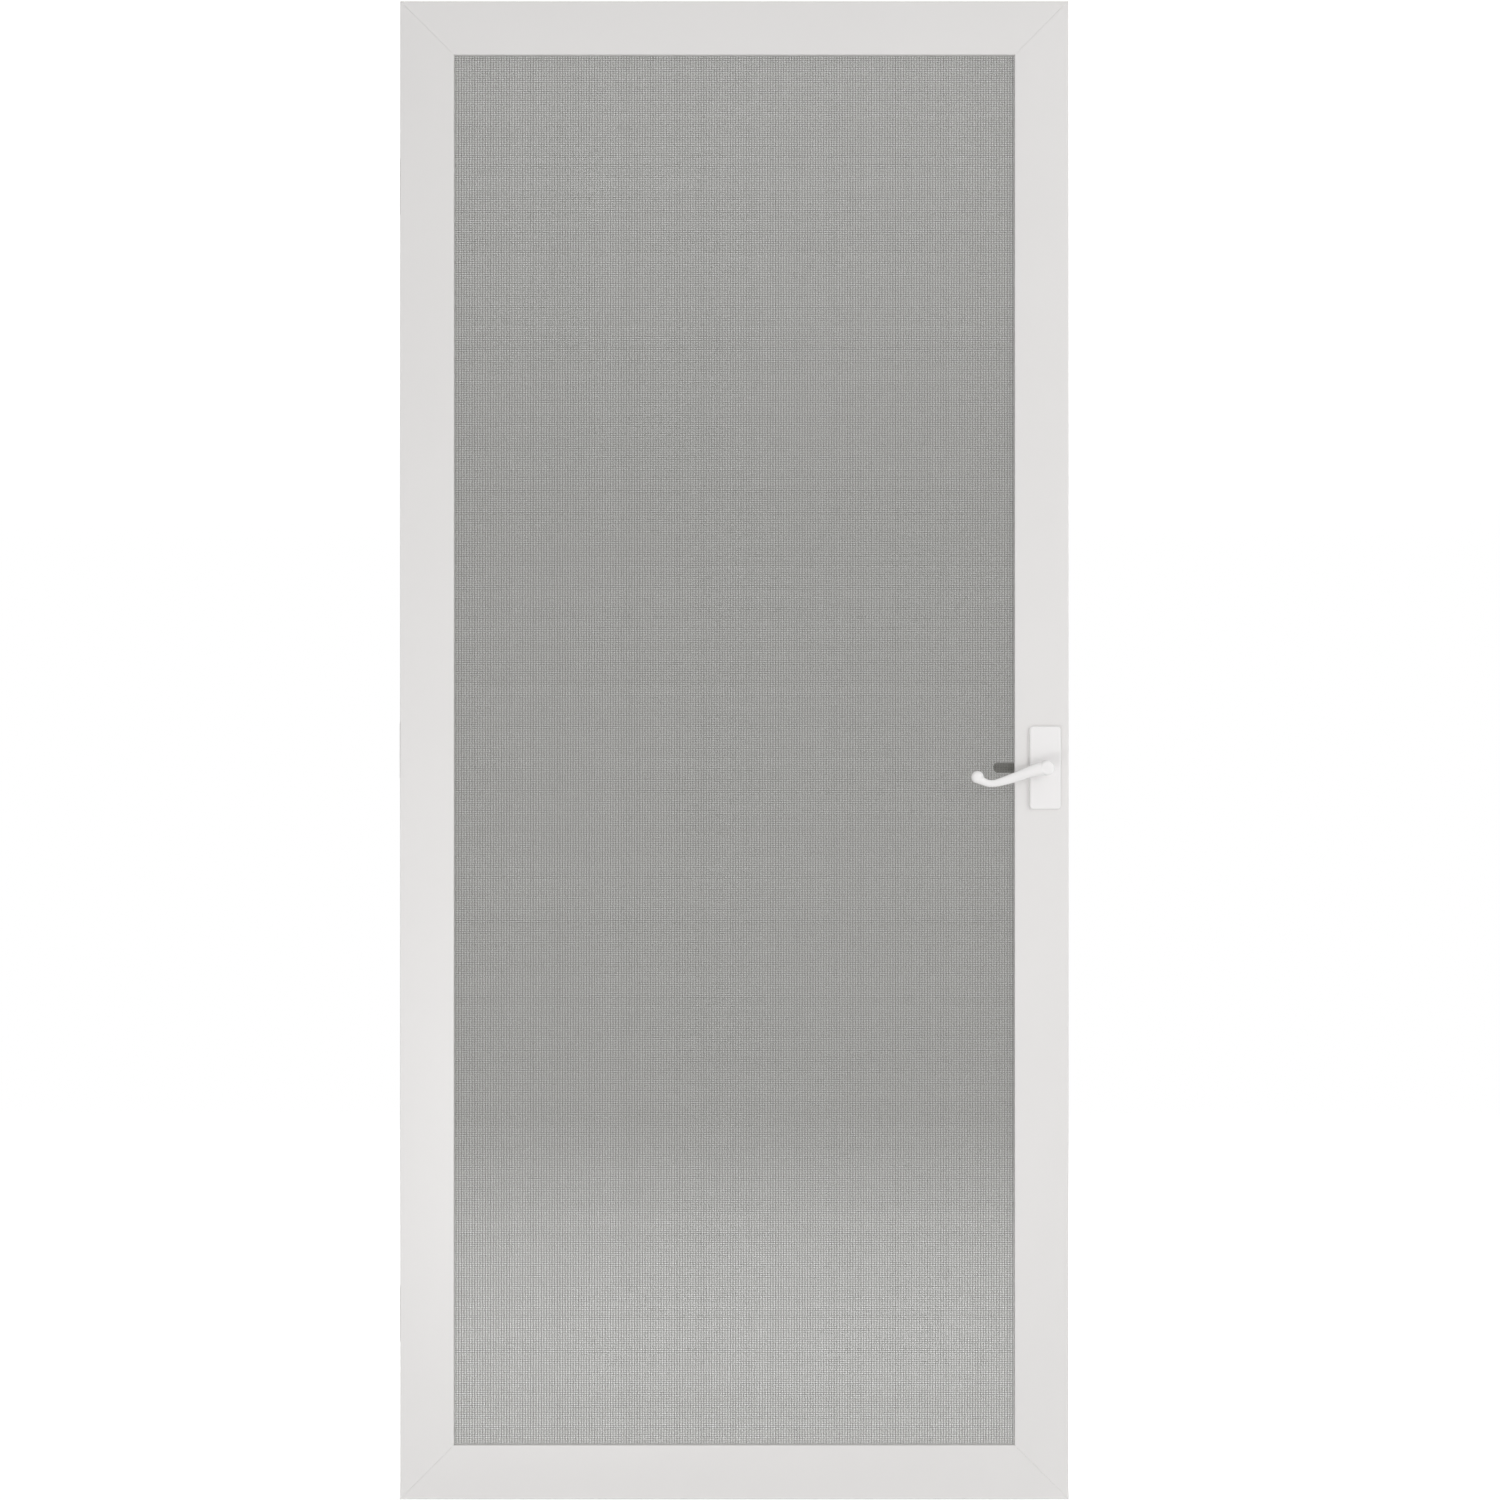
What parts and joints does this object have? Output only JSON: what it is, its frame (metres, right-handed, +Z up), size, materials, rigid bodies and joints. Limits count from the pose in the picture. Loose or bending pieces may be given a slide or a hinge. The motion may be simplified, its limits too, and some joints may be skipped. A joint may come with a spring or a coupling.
{
  "type": "aluminium storm door",
  "caption": "Full-view storm door leaf of mitred aluminium extrusions with an insect screen, a curved lever handle and butt hinges that swing it from a door jamb.",
  "frame": {"origin": "on the jamb face of the middle hinge, at half the height of the leaf and half its thickness", "axes": "-X out of the jamb face towards the jamb, +Y from the front of the leaf to its back, +Z up"},
  "size_m": [0.906, 0.1135, 2.028],
  "materials": {
    "frame_paint": "satin white paint",
    "hinge_paint": "satin white paint",
    "handle_paint": "gloss white paint",
    "dark_handle_paint": "satin black paint",
    "screen_cloth": "coated yarn",
    "spline_vinyl": "matt vinyl",
    "bare_steel": "plain steel"
  },
  "bodies": {
    "jamb": {"top_jamb_plate": "hinge_paint", "middle_jamb_plate": "hinge_paint", "bottom_jamb_plate": "hinge_paint", "top_pin": "bare_steel", "middle_pin": "bare_steel", "bottom_pin": "bare_steel"},
    "leaf": {"hinge_stile": "frame_paint", "latch_stile": "frame_paint", "top_rail": "frame_paint", "bottom_rail": "frame_paint", "screen_mesh": "screen_cloth", "left_spline": "spline_vinyl", "right_spline": "spline_vinyl", "top_spline": "spline_vinyl", "bottom_spline": "spline_vinyl", "top_leaf_plate": "hinge_paint", "middle_leaf_plate": "hinge_paint", "bottom_leaf_plate": "hinge_paint", "front_escutcheon": "handle_paint", "back_case": "handle_paint", "latch_tongue": "bare_steel"},
    "lever_set": {"front_lever": "handle_paint", "spindle": "bare_steel", "back_lever": "dark_handle_paint"}
  },
  "joints": [
    {"name": "leaf_swing", "type": "hinge", "parent": "jamb", "child": "leaf", "pos_m": [0.004, 0.0165, 0], "axis": [0, 0, 1], "range_deg": [0, 110]},
    {"name": "lever_turn", "type": "hinge", "parent": "leaf", "child": "lever_set", "pos_m": [0.874, 0, -0.024], "axis": [0, -1, 0], "range_deg": [0, 40], "stiffness_Nm_per_rad": 1, "springref_deg": -17.19}
  ]
}
